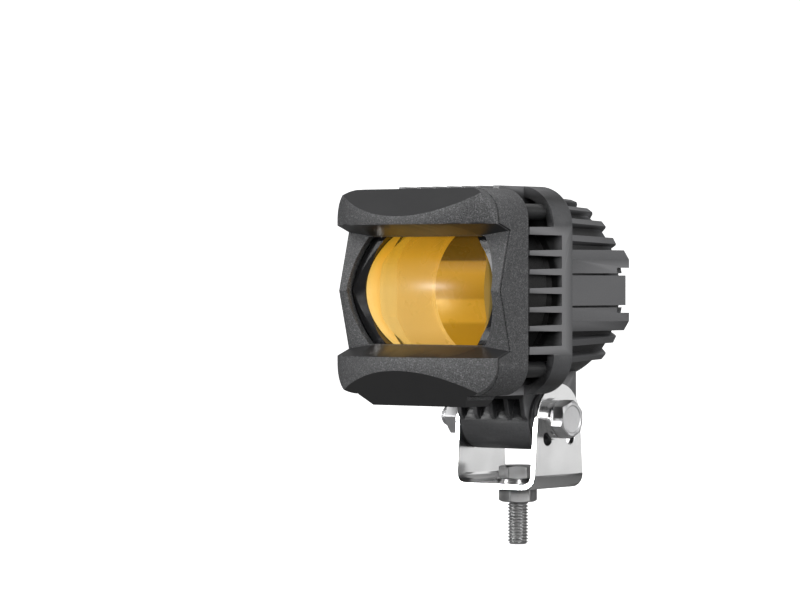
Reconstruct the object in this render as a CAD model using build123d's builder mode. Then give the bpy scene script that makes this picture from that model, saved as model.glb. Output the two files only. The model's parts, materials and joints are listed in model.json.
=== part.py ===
from build123d import *
from math import cos, radians, sin
import os

# Fog light pod on a U-bracket. Millimetres. X to the right seen from the front,
# -Y the way the lamp shines, +Z up. Origin: stud axis, underside of the stud nut.

# ---- driving dimensions -------------------------------------------------------
AXIS_Z = 81.5          # height of the optical axis
PIVOT_Y = -3.6         # tilt pivot, an axis along X
PIVOT_Z = 32.5
WIDTH = 75.2           # lamp body outline
TOP = 38.0             # body top and bottom, measured from the optical axis
BOTTOM = -38.8
BEZEL_CORNER = 11.5

# front fascia
FASCIA_INSET = 0.15    # fascia outline inside the bezel outline
CREASE_Y = -63.5       # wing crease at mid height
VERTEX_Y = -57.6       # wing ends
VERTEX_Z = 22.1
VISOR_END_Y = -64.4    # visor front at its ends and at its nose
VISOR_NOSE_Y = -76.0
VISOR_Z = 24.5         # inner edge of each visor
VISOR_BACK_Y = -56.0
WINDOW_R = 33.9
WINDOW_Z = 20.2        # flat top and bottom of the window
WINDOW_BACK_Y = -52.0
WING_WALL = 3.0
SCOOP_TOP_Z = 27.5     # scoop edge at the nose, above and below the axis
SCOOP_BOTTOM_Z = -29.5
CHIN_Z = -42.9
CHIN_HALF = 21.6
CHIN_BACK_Y = -49.0
CHIN_ROOT = 4.0        # height of the chin's join to the body
SILL_BOW = 0.05
SILL_CORNER_X = 25.0   # where the end facet meets the window edge
RIM_LAND = 0.7         # fascia edge thickness in front of the reveal
REVEAL = 0.6
RIM_WALL = 2.2         # bezel wall round the fascia spigot
BOSS_R = 3.6

# bezel frame and lens stack
BEZEL_BACK_Y = -45.0
POCKET_Y = -51.8       # floor of the fascia pocket
BORE_R = 33.5          # bore for shroud and lens flange
LEDGE_Y = -43.3
LEDGE_R = 28.8
LEDGE_BACK_Y = -41.5
BARREL_R = 35.0
BARREL_END_Y = -29.8
TUBE_R = 29.8          # clear bore for the reflector
FLANGE_R = 33.2
FLANGE_FRONT_Y = -47.0
FLANGE_BACK_Y = -44.5
LENS_R = 29.0
LENS_FRONT_Y = -57.5
LENS_CURVE = 36.0      # radius of the lens front, a cylinder along X
LENS_WALL = 2.5
LENS_HOLLOW_X = 24.5
SHROUD_R = 33.4
SHROUD_MOUTH_R = 33.0    # funnel from the window edge down to the lens
SHROUD_MOUTH_Y = -60.4
SHROUD_BORE_R = 29.3
SHROUD_BORE_Y = -56.0
SHROUD_GAP = 0.1
SEAL_SETBACK = 0.7     # lens seal, from the ledge's inner edge
SEAL_INSET = 0.2       # housing seal, from the clear bore

# heat sink
COLLAR_R = 33.0
COLLAR_Y = -29.3
RIB_FRONT_Y = -44.4
RING_FRONT_Y = -23.8
RING_BACK_Y = -17.0
RING_HEIGHT = 78.4
RING_CORNER = 15.0
CORNER_FRONT_Y = -29.0
RIB_PITCH = 7.0
RIB_FRONT_HALF = 0.9   # rib half thickness, front and back
RIB_BACK_HALF = 1.25
RIB_BITE = 1.0
EDGE_RIB = 22.2        # thicker rib next to each corner window
EDGE_RIB_FRONT_HALF = 1.4
EDGE_RIB_BACK_HALF = 1.6
BARREL_SPACE = 0.5
CORNER_WALL = 3.0
CORNER_START = 23.8
POST_X = 31.0
POST_Z = 29.4
POST_R = 3.0
CORE_R = 36.0
CORE_REAR_R = 34.8
CORE_BACK_Y = 20.0
CORE_BEVEL_Y = 1.6
CORE_BEVEL_R = 1.4
FIN_BACK_Y = 20.8
FIN_FOOT_R = 38.9      # fin edge at the ring and at the rear
FIN_NOSE_R = 36.8
FIN_THICK = 2.8
FIN_PITCH = 13.1
FIN_ROOT_R = 28.0
FIN_BEVEL = 1.0
COVER_LAND = 1.0
PLATE_ROOT_X = 29.0    # notched plates above and below the side panels
PLATE_TIP_X = 35.2
PLATE_LOW = 6.5
PLATE_HIGH = 11.8
PLATE_TIP = 15.4
PLATE_ROOT = 13.0
PANEL_BACK_Y = 18.4
PANEL_DEPTH = 10.0
PANEL_HEIGHT = 11.4
NOTCH_TOP = 8.6
NOTCH_FRONT_Y = 12.6
UPPER_FINS = 5         # on each side of the middle
LOWER_FINS = 2
LED_SEAT_Y = -0.9
WEB_BACK_Y = 3.5
DRIVER_BORE_R = 23.5
COVER_SEAT_Y = 14.4
COVER_BORE_R = 26.0

# foot and pivot
FOOT_HALF = 16.0
FOOT_FRONT_Y = -18.7
FOOT_PLATE_Z = -41.3
FOOT_BACK_Y = 16.4
FOOT_ROOT_Z = -36.0    # foot side view, from the optical axis
FOOT_CORE_Z = -30.0
FOOT_HEEL_Z = -42.5
WEB_FRONT_Y = -17.4
WEB_FRONT_Z = -47.6
WEB_LOW_Y = -13.0
WEB_LOW_Z = -52.0
WEB_REAR_Y = 8.0
WEB_REAR_Z = -46.0
POCKET_MIDDLE = 7.0
POCKET_LENGTH = 15.0
POCKET_DEPTH = 10.0
BARREL_PIVOT_R = 12.0
PIVOT_BORE_R = 4.08
WEB_COUNT = 5
WEB_THICK = 2.0
BUSH_R = 11.5
BUSH_THICK = 1.2

# bracket
LEG_INNER = 17.25
SHEET = 2.2
BASE_Z = 5.5
BASE_HALF = 16.3
LEG_TOP_R = 14.0
LEG_TOP_Z = 32.0
BEND_R = 5.6
SIDE_HOLE_R = 2.75
SIDE_HOLE_Y = 7.4
SIDE_HOLE_DROP = 7.4

# M8 fasteners
M8_R = 4.0
STUD_NECK_R = 3.6      # inside the stud nut
STUD_SHOULDER_R = 4.3  # bearing for the bracket
HEX_AF = 13.0
HEAD_HEIGHT = 5.3
NUT_HEIGHT = 6.5
WASHER_R = 8.0
WASHER_THICK = 1.6
SPRING_R = 7.25
SPRING_THICK = 2.0
BOLT_TIP = 4.5
STUD_LENGTH = 16.3
STUD_NUT_HEIGHT = 5.45
STUD_WASHER_THICK = 1.3
STUD_HEAD_HEIGHT = 5.0
STUD_HOLE_R = 4.35
CONTACT_GAP = 0.05
HEX_CORNER_R = 7.45    # turned chamfer on the hexagon corners
TIP_CHAMFER = 0.9
SPRING_SPLIT = 0.8     # slanted gap in the spring washer
SPLIT_TURN = 20
WASHER_PLAY = 0.2
SPRING_PLAY = 0.1
BOLT_FIT = 0.05
THREAD_FIT = 0.02

# small screws
M4_R = 2.0
M4_TIP_Y = -60.5
M4_PLAY = 0.2
POST_PLAY = 0.15
M4_HEAD_R = 3.5
M4_HEAD = 2.6
M4_SOCKET_R = 1.5
M4_SOCKET_DEPTH = 1.6
M3_R = 1.5
M3_PLAY = 0.2
M3_HEAD_R = 2.8
M3_HEAD = 1.9
M3_SOCKET_R = 1.2
M3_SOCKET_DEPTH = 1.1
M25_R = 1.25
M25_PLAY = 0.15
M25_HEAD_R = 2.2
M25_HEAD = 1.5
TIP_SPACE = 0.5        # left at the end of a blind screw hole

OPTICAL_AXIS = Axis((0, 0, AXIS_Z), (0, 1, 0))
FAR = 120.0            # beyond every part
OVERSHOOT = 5.0        # cutting shapes run this far past what they cut


# ---- planes and shared profiles -------------------------------------------------
def facing(y):
    """Plane across the optical axis at depth y; extrude goes forward."""
    return Plane(origin=(0, y, AXIS_Z), x_dir=(1, 0, 0), z_dir=(0, -1, 0))


def beside():
    """Plane of the side view: local x is Y, local y is height above the axis."""
    return Plane(origin=(0, 0, AXIS_Z), x_dir=(0, 1, 0), z_dir=(1, 0, 0))


def level(z):
    """Plane of the plan view at a height above the optical axis."""
    return Plane.XY.offset(AXIS_Z + z)


def radial(angle):
    """Plane through the optical axis: local x runs outward, local y along Y."""
    outward = (cos(radians(angle)), 0, sin(radians(angle)))
    across = (-sin(radians(angle)), 0, cos(radians(angle)))
    return Plane(origin=(0, 0, AXIS_Z), x_dir=outward, z_dir=across)


def tube(outer, inner, front, back):
    """Round tube on the optical axis from depth front to depth back."""
    with BuildPart() as shape:
        with BuildSketch(facing(back)):
            Circle(outer)
            if inner > 0:
                Circle(inner, mode=Mode.SUBTRACT)
        extrude(amount=back - front)
    return shape.part


def outline_prism(front, back, inset, corner=BEZEL_CORNER):
    """Rounded body outline between two depths, drawn in by inset."""
    height = TOP - BOTTOM - 2 * inset
    with BuildPart() as shape:
        with BuildSketch(facing(back)):
            with Locations((0, (TOP + BOTTOM) / 2)):
                RectangleRounded(WIDTH - 2 * inset, height, corner - inset)
        extrude(amount=back - front)
    return shape.part


def behind_rim(shift):
    """All space behind the zigzag front edge of the rim, moved back by shift."""
    with BuildPart() as shape:
        with BuildSketch(beside()):
            with BuildLine():
                Polyline(
                    (VISOR_END_Y + shift, TOP + OVERSHOOT),
                    (VISOR_END_Y + shift, VISOR_Z),
                    (VERTEX_Y + shift, VERTEX_Z),
                    (CREASE_Y + shift, 0),
                    (VERTEX_Y + shift, -VERTEX_Z),
                    (VISOR_END_Y + shift, -VISOR_Z),
                    (VISOR_END_Y + shift, BOTTOM - OVERSHOOT),
                    (FAR, BOTTOM - OVERSHOOT),
                    (FAR, TOP + OVERSHOOT),
                    close=True,
                )
            make_face()
        extrude(amount=WIDTH, both=True)
    return shape.part


def side_prism(points, half_width):
    """Side-view polygon spread to both sides of the middle plane."""
    with BuildPart() as shape:
        with BuildSketch(beside()):
            with BuildLine():
                Polyline(*points, close=True)
            make_face()
        extrude(amount=half_width, both=True)
    return shape.part


def hexagon_x(x_from, x_to, turn):
    """M8 hexagon on the pivot axis between two x positions."""
    with BuildPart() as shape:
        with BuildSketch(Plane(origin=(x_from, PIVOT_Y, PIVOT_Z), x_dir=(0, 1, 0), z_dir=(1, 0, 0))):
            RegularPolygon(HEX_AF / 2, 6, major_radius=False, rotation=turn)
        extrude(amount=x_to - x_from)
    return shape.part


def disc_x(radius, x_from, x_to, y=PIVOT_Y, z=PIVOT_Z):
    """Round disc along X between two x positions."""
    with BuildPart() as shape:
        with BuildSketch(Plane(origin=(x_from, y, z), x_dir=(0, 1, 0), z_dir=(1, 0, 0))):
            Circle(radius)
        extrude(amount=x_to - x_from)
    return shape.part


def disc_z(radius, z_from, z_to):
    """Round disc on the stud axis between two heights."""
    with BuildPart() as shape:
        with BuildSketch(Plane.XY.offset(z_from)):
            Circle(radius)
        extrude(amount=z_to - z_from)
    return shape.part


def hexagon_z(z_from, z_to, turn):
    """M8 hexagon on the stud axis between two heights."""
    with BuildPart() as shape:
        with BuildSketch(Plane.XY.offset(z_from)):
            RegularPolygon(HEX_AF / 2, 6, major_radius=False, rotation=turn)
        extrude(amount=z_to - z_from)
    return shape.part


def rods(points, radius, front, back):
    """Equal round rods along Y, one at each (x, height) point."""
    with BuildPart() as shape:
        with BuildSketch(facing(back)):
            with Locations(*points):
                Circle(radius)
        extrude(amount=back - front)
    return shape.part


def on_circle(radius, angles):
    """(x, height) points round the optical axis at the given angles."""
    return [(radius * cos(radians(a)), radius * sin(radians(a))) for a in angles]


def save(shape, name):
    shape.part.label = name
    export_step(shape.part, f"parts/{name}.step")


CORNERS = [(sx * POST_X, sz * POST_Z) for sx in (-1, 1) for sz in (-1, 1)]
os.makedirs("parts", exist_ok=True)


# ---- front fascia ---------------------------------------------------------------
def visor_plan(height, front_end, front_nose, back):
    """Plan view of a visor at one height: bowed front, straight back."""
    half = WIDTH / 2
    with BuildSketch(level(height)) as plan:
        with BuildLine():
            ThreePointArc((-half, front_end), (0, front_nose), (half, front_end))
            Polyline((half, front_end), (half, back), (-half, back), (-half, front_end))
        make_face()
    return plan.sketch


def visor_block():
    """Upper visor with the ruled face that leads back to the window edge."""
    window_y = CREASE_Y + (VERTEX_Y - CREASE_Y) * WINDOW_Z / VERTEX_Z
    sill = visor_plan(WINDOW_Z, window_y, window_y - SILL_BOW, WINDOW_BACK_Y)
    lip = visor_plan(VISOR_Z, VISOR_END_Y, VISOR_NOSE_Y, WINDOW_BACK_Y)
    nose = visor_plan(VISOR_Z, VISOR_END_Y, VISOR_NOSE_Y, VISOR_BACK_Y)
    with BuildPart() as shape:
        loft([sill, lip], ruled=True)
        for side in (-1, 1):
            end = (side * WIDTH / 2, VISOR_END_Y, AXIS_Z + VISOR_Z)
            vertex = (side * WIDTH / 2, VERTEX_Y, AXIS_Z + VERTEX_Z)
            corner = (side * SILL_CORNER_X, window_y, AXIS_Z + WINDOW_Z)
            facet = Plane(
                origin=end,
                x_dir=Vector(*vertex) - Vector(*end),
                z_dir=(Vector(*vertex) - Vector(*end)).cross(Vector(*corner) - Vector(*end)) * side,
            )
            split(bisect_by=facet, keep=Keep.TOP if facet.z_dir.Z > 0 else Keep.BOTTOM)
        extrude(nose, amount=TOP + OVERSHOOT - VISOR_Z)
    return shape.part


def scoop(edge_z, side):
    """Wedge in front of the 45 degree plane that cuts a visor's nose."""
    lead = 10.0
    reach = 30.0
    points = [
        (VISOR_NOSE_Y - lead, edge_z - side * lead),
        (VISOR_NOSE_Y + reach, edge_z + side * reach),
        (VISOR_NOSE_Y - lead, edge_z + side * reach),
    ]
    return side_prism(points, WIDTH)


def make_fascia():
    wall = [
        (VERTEX_Y, VERTEX_Z),
        (CREASE_Y, 0),
        (VERTEX_Y, -VERTEX_Z),
        (VERTEX_Y + WING_WALL, -VERTEX_Z),
        (CREASE_Y + WING_WALL, 0),
        (VERTEX_Y + WING_WALL, VERTEX_Z),
    ]
    upper = visor_block()
    lower = mirror(upper, about=Plane.XY.offset(AXIS_Z), mode=Mode.PRIVATE)
    body = side_prism(wall, WIDTH / 2) + upper + lower
    body = body & outline_prism(VISOR_NOSE_Y - OVERSHOOT, WINDOW_BACK_Y + OVERSHOOT, FASCIA_INSET)
    front = VISOR_NOSE_Y - OVERSHOOT
    rim = outline_prism(front, 0, 0) - outline_prism(front, 0, RIM_WALL)
    body = body - (rim & behind_rim(RIM_LAND))
    with BuildPart() as chin:
        with BuildSketch(facing(CHIN_BACK_Y)):
            with BuildLine():
                rise = BOTTOM - FASCIA_INSET - CHIN_Z
                Polyline(
                    (-CHIN_HALF - rise, CHIN_Z + rise),
                    (-CHIN_HALF, CHIN_Z),
                    (CHIN_HALF, CHIN_Z),
                    (CHIN_HALF + rise, CHIN_Z + rise),
                    close=True,
                )
            make_face()
        extrude(amount=CHIN_BACK_Y - VISOR_NOSE_Y)
        with BuildSketch(facing(VISOR_END_Y)):
            with Locations((0, BOTTOM - FASCIA_INSET + CHIN_ROOT / 2)):
                Rectangle(2 * (CHIN_HALF + rise), CHIN_ROOT)
        extrude(amount=VISOR_END_Y - VISOR_NOSE_Y)
    body = body + chin.part
    body = body - scoop(SCOOP_TOP_Z, 1) - scoop(SCOOP_BOTTOM_Z, -1)
    body = body + rods(CORNERS, BOSS_R, VISOR_BACK_Y, POCKET_Y - CONTACT_GAP)
    body = body - rods(CORNERS, M4_R + THREAD_FIT, M4_TIP_Y - TIP_SPACE, POCKET_Y)
    with BuildPart() as window:
        with BuildSketch(facing(0)):
            Circle(WINDOW_R)
            Rectangle(2 * WINDOW_R, 2 * WINDOW_Z, mode=Mode.INTERSECT)
        extrude(amount=-VISOR_NOSE_Y)
    return body - window.part


fascia_shape = make_fascia()
with BuildPart() as front_fascia:
    add(fascia_shape)
save(front_fascia, "front_fascia")


# ---- bezel frame ------------------------------------------------------------------
with BuildPart() as bezel_frame:
    add(outline_prism(VISOR_NOSE_Y, BEZEL_BACK_Y, 0) & behind_rim(RIM_LAND + REVEAL))
    add(outline_prism(VISOR_NOSE_Y, POCKET_Y, RIM_WALL - FASCIA_INSET), mode=Mode.SUBTRACT)
    add(tube(BARREL_R, 0, BEZEL_BACK_Y, BARREL_END_Y))
    add(tube(BORE_R, 0, POCKET_Y, LEDGE_Y), mode=Mode.SUBTRACT)
    add(tube(LEDGE_R, 0, LEDGE_Y, LEDGE_BACK_Y), mode=Mode.SUBTRACT)
    add(tube(TUBE_R, 0, LEDGE_BACK_Y, BARREL_END_Y), mode=Mode.SUBTRACT)
    add(rods(CORNERS, M4_R + M4_PLAY, POCKET_Y, BEZEL_BACK_Y), mode=Mode.SUBTRACT)
save(bezel_frame, "bezel_frame")


# ---- lens, seal and shroud ----------------------------------------------------------
def lens_bulge(radius, front):
    """Cylinder along X whose front reaches the given depth."""
    return disc_x(radius, -FAR, FAR, y=front + radius, z=AXIS_Z)


def behind_fascia():
    """Space the shroud may fill: behind the wings, and behind the visors outside the window."""
    half_z = WINDOW_Z - SHROUD_GAP
    slot = side_prism([(-FAR, -half_z), (-FAR, half_z), (0, half_z), (0, -half_z)], WIDTH)
    return (slot & behind_rim(WING_WALL + SHROUD_GAP)) + tube(FAR, 0, WINDOW_BACK_Y + SHROUD_GAP, 0)


with BuildPart() as lens:
    add(tube(FLANGE_R, 0, FLANGE_FRONT_Y, FLANGE_BACK_Y))
    add(tube(LENS_R, 0, LENS_FRONT_Y, FLANGE_BACK_Y) & lens_bulge(LENS_CURVE, LENS_FRONT_Y))
    with BuildPart(mode=Mode.PRIVATE) as hollow:
        with BuildSketch(facing(FLANGE_BACK_Y)):
            Circle(LENS_R - LENS_WALL)
            Rectangle(2 * LENS_HOLLOW_X, 2 * LENS_R, mode=Mode.INTERSECT)
        extrude(amount=FLANGE_BACK_Y - LENS_FRONT_Y)
    add(
        hollow.part & lens_bulge(LENS_CURVE - LENS_WALL, LENS_FRONT_Y + LENS_WALL),
        mode=Mode.SUBTRACT,
    )
save(lens, "lens")

with BuildPart() as lens_seal:
    add(tube(FLANGE_R, LEDGE_R + SEAL_SETBACK, FLANGE_BACK_Y, LEDGE_Y))
save(lens_seal, "lens_seal")


with BuildPart() as lens_shroud:
    with BuildSketch(beside()):
        with BuildLine():
            Polyline(
                (CREASE_Y, SHROUD_R),
                (CREASE_Y, SHROUD_MOUTH_R),
                (SHROUD_MOUTH_Y, SHROUD_MOUTH_R),
                (SHROUD_BORE_Y, SHROUD_BORE_R),
                (FLANGE_FRONT_Y, SHROUD_BORE_R),
                (FLANGE_FRONT_Y, SHROUD_R),
                close=True,
            )
        make_face()
    revolve(axis=OPTICAL_AXIS)
    add(behind_fascia(), mode=Mode.INTERSECT)
save(lens_shroud, "lens_shroud")


# ---- optics and light source ----------------------------------------------------------
REFLECTOR_FRONT_Y = LEDGE_BACK_Y + 0.1
THROAT_Y = -5.3
REFLECTOR_R = 28.3
REFLECTOR_WALL = 1.2
THROAT_R = 7.0
TUBE_END_Y = -17.0     # where the straight tube turns into the bowl
BOWL_LIP_R = REFLECTOR_R - REFLECTOR_WALL
BOWL_SLOPE = (THROAT_Y - TUBE_END_Y) / (BOWL_LIP_R ** 2 - THROAT_R ** 2)


def bowl_y(r):
    """Depth of the parabolic bowl at radius r."""
    return THROAT_Y - BOWL_SLOPE * (r ** 2 - THROAT_R ** 2)


with BuildPart() as reflector:
    with BuildSketch(beside()):
        with BuildLine():
            steps = [THROAT_R + (BOWL_LIP_R - THROAT_R) * i / 6 for i in range(7)]
            inner = Spline(*[(bowl_y(r), r) for r in steps])
            outer = Spline(*[(bowl_y(r) + REFLECTOR_WALL, r) for r in steps])
            Line(inner @ 0, outer @ 0)
            Polyline(
                inner @ 1,
                (TUBE_END_Y, REFLECTOR_R),
                (REFLECTOR_FRONT_Y, REFLECTOR_R),
                (REFLECTOR_FRONT_Y, REFLECTOR_R + REFLECTOR_WALL),
                (TUBE_END_Y + REFLECTOR_WALL, REFLECTOR_R + REFLECTOR_WALL),
                outer @ 1,
            )
        make_face()
    revolve(axis=OPTICAL_AXIS)
save(reflector, "reflector")

BOARD_R = 15.5
BOARD_FRONT_Y = -3.0
BOARD_BACK_Y = -1.4
LED_SCREWS = on_circle(12.4, (0, 120, 240))
LED_PITCH = 4.2
LED_SIZE = 3.5
LED_HEIGHT = 0.7
LED_SCREW_GRIP = 3.0
LED_HOLE_END_Y = LED_SEAT_Y + LED_SCREW_GRIP + TIP_SPACE
LED_SCREW_HEAD = 1.1

with BuildPart() as led_board:
    add(tube(BOARD_R, 0, BOARD_FRONT_Y, BOARD_BACK_Y))
    add(rods(LED_SCREWS, M3_R + M3_PLAY, BOARD_FRONT_Y, BOARD_BACK_Y), mode=Mode.SUBTRACT)
save(led_board, "led_board")

with BuildPart() as led_emitters:
    with BuildSketch(facing(BOARD_FRONT_Y)):
        with GridLocations(LED_PITCH, LED_PITCH, 2, 2):
            Rectangle(LED_SIZE, LED_SIZE)
    extrude(amount=LED_HEIGHT)
save(led_emitters, "led_emitters")

with BuildPart() as thermal_pad:
    add(tube(BOARD_R, 0, BOARD_BACK_Y, LED_SEAT_Y))
    add(rods(LED_SCREWS, M3_R + M3_PLAY, BOARD_BACK_Y, LED_SEAT_Y), mode=Mode.SUBTRACT)
save(thermal_pad, "thermal_pad")

with BuildPart() as led_screws:
    add(rods(LED_SCREWS, M3_R, BOARD_FRONT_Y, LED_SEAT_Y + LED_SCREW_GRIP))
    add(rods(LED_SCREWS, M3_HEAD_R, BOARD_FRONT_Y - LED_SCREW_HEAD, BOARD_FRONT_Y))
save(led_screws, "led_screws")


# ---- heat sink ------------------------------------------------------------------------
def ring_outline(front, back):
    """Outer outline of the smooth ring band between two depths."""
    with BuildPart() as shape:
        with BuildSketch(facing(back)):
            RectangleRounded(WIDTH, RING_HEIGHT, RING_CORNER)
        extrude(amount=back - front)
    return shape.part


def rib(offset, front_half, back_half, turn):
    """One tapered rib between bezel and ring, on the side the turn points to."""
    with BuildPart() as shape:
        with BuildSketch(beside()):
            with BuildLine():
                Polyline(
                    (RIB_FRONT_Y, offset - front_half),
                    (RIB_FRONT_Y, offset + front_half),
                    (RING_FRONT_Y, offset + back_half),
                    (RING_FRONT_Y + RIB_BITE, offset + back_half),
                    (RING_FRONT_Y + RIB_BITE, offset - back_half),
                    (RING_FRONT_Y, offset - back_half),
                    close=True,
                )
            make_face()
        extrude(amount=RING_HEIGHT / 2 + RIB_BITE)
    return shape.part.rotate(OPTICAL_AXIS, turn)


def cage():
    """Ribs on all four sides, reaching forward from the ring."""
    ribs = Part()
    for turn in (0, 90, 180, 270):
        for step in (-2, -1, 0, 1, 2):
            ribs += rib(step * RIB_PITCH, RIB_FRONT_HALF, RIB_BACK_HALF, turn)
        for side in (-1, 1):
            ribs += rib(side * EDGE_RIB, EDGE_RIB_FRONT_HALF, EDGE_RIB_BACK_HALF, turn)
    ribs = ribs & ring_outline(RIB_FRONT_Y, RING_BACK_Y)
    return ribs - tube(BARREL_R + BARREL_SPACE, 0, RIB_FRONT_Y - OVERSHOOT, RING_BACK_Y)


def corner_frames():
    """Deeper ring wall round the four corner windows."""
    inner = outline_prism(CORNER_FRONT_Y, RING_FRONT_Y, CORNER_WALL, RING_CORNER)
    frame = ring_outline(CORNER_FRONT_Y, RING_FRONT_Y) - inner
    with BuildPart() as keep:
        with BuildSketch(facing(RING_FRONT_Y)):
            with GridLocations(WIDTH, RING_HEIGHT, 2, 2):
                Rectangle(WIDTH - 2 * CORNER_START, RING_HEIGHT - 2 * CORNER_START)
        extrude(amount=RING_FRONT_Y - CORNER_FRONT_Y)
    return frame & keep.part


def fin(angle):
    """Radial fin on the core, bevelled at its rear corner."""
    with BuildPart() as shape:
        with BuildSketch(radial(angle)):
            with BuildLine():
                Polyline(
                    (FIN_ROOT_R, RING_BACK_Y),
                    (FIN_FOOT_R, RING_BACK_Y),
                    (FIN_NOSE_R, FIN_BACK_Y - FIN_BEVEL),
                    (FIN_NOSE_R - FIN_BEVEL, FIN_BACK_Y),
                    (COVER_BORE_R + COVER_LAND, FIN_BACK_Y),
                    (COVER_BORE_R + COVER_LAND, COVER_SEAT_Y),
                    (FIN_ROOT_R, COVER_SEAT_Y),
                    close=True,
                )
            make_face()
        extrude(amount=FIN_THICK / 2, both=True)
    return shape.part


def side_plates():
    """Flat side panels with the notched plates above and below them."""
    plates = Part()
    for side in (-1, 1):
        for up in (-1, 1):
            with BuildPart() as plate:
                with BuildSketch(facing(FIN_BACK_Y)):
                    with BuildLine():
                        Polyline(
                            (side * PLATE_ROOT_X, up * PLATE_LOW),
                            (side * WIDTH / 2, up * PLATE_LOW),
                            (side * WIDTH / 2, up * PLATE_HIGH),
                            (side * PLATE_TIP_X, up * PLATE_TIP),
                            (side * PLATE_ROOT_X, up * PLATE_ROOT),
                            close=True,
                        )
                    make_face()
                extrude(amount=FIN_BACK_Y - RING_BACK_Y)
            plates += plate.part
        with BuildPart() as panel:
            with BuildSketch(facing(PANEL_BACK_Y)):
                with Locations((side * (WIDTH - PANEL_DEPTH) / 2, 0)):
                    Rectangle(PANEL_DEPTH, PANEL_HEIGHT)
            extrude(amount=PANEL_BACK_Y - RING_BACK_Y)
        plates += panel.part
    with BuildPart() as notch:
        with BuildSketch(facing(FIN_BACK_Y)):
            Rectangle(WIDTH + OVERSHOOT, 2 * NOTCH_TOP)
            Rectangle(WIDTH + 2 * OVERSHOOT, PANEL_HEIGHT, mode=Mode.SUBTRACT)
            Circle(CORE_REAR_R, mode=Mode.SUBTRACT)
        extrude(amount=FIN_BACK_Y - NOTCH_FRONT_Y)
    return plates - notch.part


def foot():
    """Plate and webs that carry the pivot barrel under the body."""
    drop = PIVOT_Z - AXIS_Z
    block = side_prism(
        [
            (FOOT_FRONT_Y, FOOT_ROOT_Z),
            (FOOT_FRONT_Y, FOOT_PLATE_Z),
            (WEB_FRONT_Y, WEB_FRONT_Z),
            (WEB_LOW_Y, WEB_LOW_Z),
            (PIVOT_Y, drop),
            (WEB_REAR_Y, WEB_REAR_Z),
            (FOOT_BACK_Y, FOOT_HEEL_Z),
            (FOOT_BACK_Y, FOOT_CORE_Z),
            (RING_BACK_Y, FOOT_CORE_Z),
        ],
        FOOT_HALF,
    )
    gap = (2 * FOOT_HALF - WEB_COUNT * WEB_THICK) / (WEB_COUNT - 1)
    with BuildPart() as pockets:
        with BuildSketch(Plane.XY.offset(AXIS_Z + FOOT_PLATE_Z)):
            with Locations((0, FOOT_FRONT_Y + POCKET_MIDDLE)):
                with GridLocations(gap + WEB_THICK, 1, WEB_COUNT - 1, 1):
                    Rectangle(gap, POCKET_LENGTH)
        extrude(amount=-POCKET_DEPTH)
    return block - pockets.part + disc_x(BARREL_PIVOT_R, -FOOT_HALF, FOOT_HALF)


def make_cage_ring():
    body = ring_outline(RING_FRONT_Y, RING_BACK_Y) + cage() + corner_frames()
    body += tube(COLLAR_R, 0, COLLAR_Y, RING_FRONT_Y)
    body += rods(CORNERS, POST_R, BEZEL_BACK_Y, RING_FRONT_Y)
    body -= tube(TUBE_R, 0, COLLAR_Y, RING_BACK_Y)
    return body - rods(CORNERS, M4_R + POST_PLAY, BEZEL_BACK_Y, RING_BACK_Y)


def core():
    """Tapered round core behind the ring."""
    with BuildPart() as shape:
        with BuildSketch(beside()):
            with BuildLine():
                Polyline(
                    (RING_BACK_Y, 0),
                    (RING_BACK_Y, CORE_R),
                    (CORE_BACK_Y - CORE_BEVEL_Y, CORE_REAR_R),
                    (CORE_BACK_Y, CORE_REAR_R - CORE_BEVEL_R),
                    (CORE_BACK_Y, 0),
                    close=True,
                )
            make_face()
        revolve(axis=OPTICAL_AXIS)
    return shape.part


def make_heat_sink():
    body = core()
    for side in (-1, 1):
        for step in range(UPPER_FINS):
            body += fin(90 + side * FIN_PITCH * (step + 0.5))
        for step in range(LOWER_FINS):
            body += fin(-90 + side * (FIN_PITCH * (UPPER_FINS - 0.5 - step)))
    body += side_plates()
    body -= tube(TUBE_R, 0, RING_BACK_Y, LED_SEAT_Y)
    body -= tube(DRIVER_BORE_R, 0, WEB_BACK_Y, COVER_SEAT_Y)
    return body - tube(COVER_BORE_R, 0, COVER_SEAT_Y, FIN_BACK_Y)


def make_pivot_foot():
    body = foot() - core() - ring_outline(RING_FRONT_Y, RING_BACK_Y)
    return body - disc_x(PIVOT_BORE_R, -FAR, FAR)


COVER_SCREWS = on_circle(21.2, (45, 135, 225, 315))
DRIVER_SCREWS = on_circle(14.5, (0, 90, 180, 270))
DRIVER_FRONT_Y = 7.0
DRIVER_BACK_Y = 8.6
DRIVER_R = 17.5
DRIVER_BOSS_R = 2.4
DRIVER_SCREW_GRIP = 3.0
DRIVER_PART_DEPTH = 4.5
CAN_X = 5.5
CAN_Z = 4.5
CAN_R = 3.0
COIL_X = 5.0
COIL_WIDTH = 7.0
COIL_HEIGHT = 9.0
COVER_BOSS_R = 3.0
COVER_TIP_Y = COVER_SEAT_Y - 6.0
COVER_PLAY = 0.15
COVER_SEAL_INSET = 0.6
COVER_BACK_Y = 17.6
COVER_FRONT_Y = 15.0

cage_shape = make_cage_ring()
with BuildPart() as cage_ring:
    add(cage_shape)
save(cage_ring, "cage_ring")

foot_shape = make_pivot_foot()
with BuildPart() as pivot_foot:
    add(foot_shape)
save(pivot_foot, "pivot_foot")

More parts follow.
